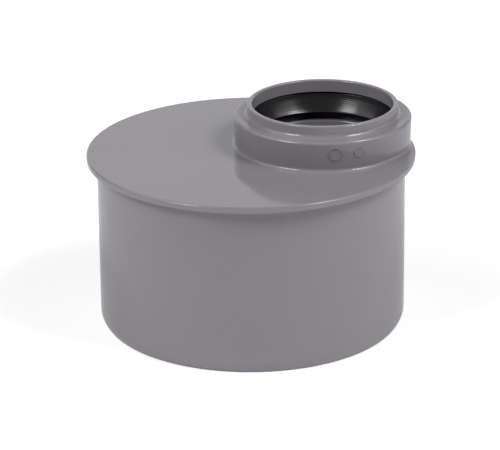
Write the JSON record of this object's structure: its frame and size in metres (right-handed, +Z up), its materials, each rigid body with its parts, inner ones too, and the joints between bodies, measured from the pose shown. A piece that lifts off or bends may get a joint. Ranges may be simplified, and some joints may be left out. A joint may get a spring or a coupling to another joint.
{
  "type": "pipe reducer",
  "caption": "Short eccentric drain pipe reducer: a wide plain spigot under a round plate that carries an off-centre ring-seal socket for a narrow pipe.",
  "frame": {"origin": "centre of the spigot's open end, on the surface the part stands on", "axes": "+Z up along the spigot's axis, from the spigot to the ring socket; +X from the spigot's axis towards the ring socket's axis"},
  "size_m": [0.1172, 0.1172, 0.0779],
  "materials": {
    "body": "satin moulded polypropylene, mid grey",
    "seal": "black moulded rubber with a slight sheen"
  },
  "bodies": {
    "root": {"reducer_body": "body", "lip_seal": "seal"}
  },
  "joints": []
}
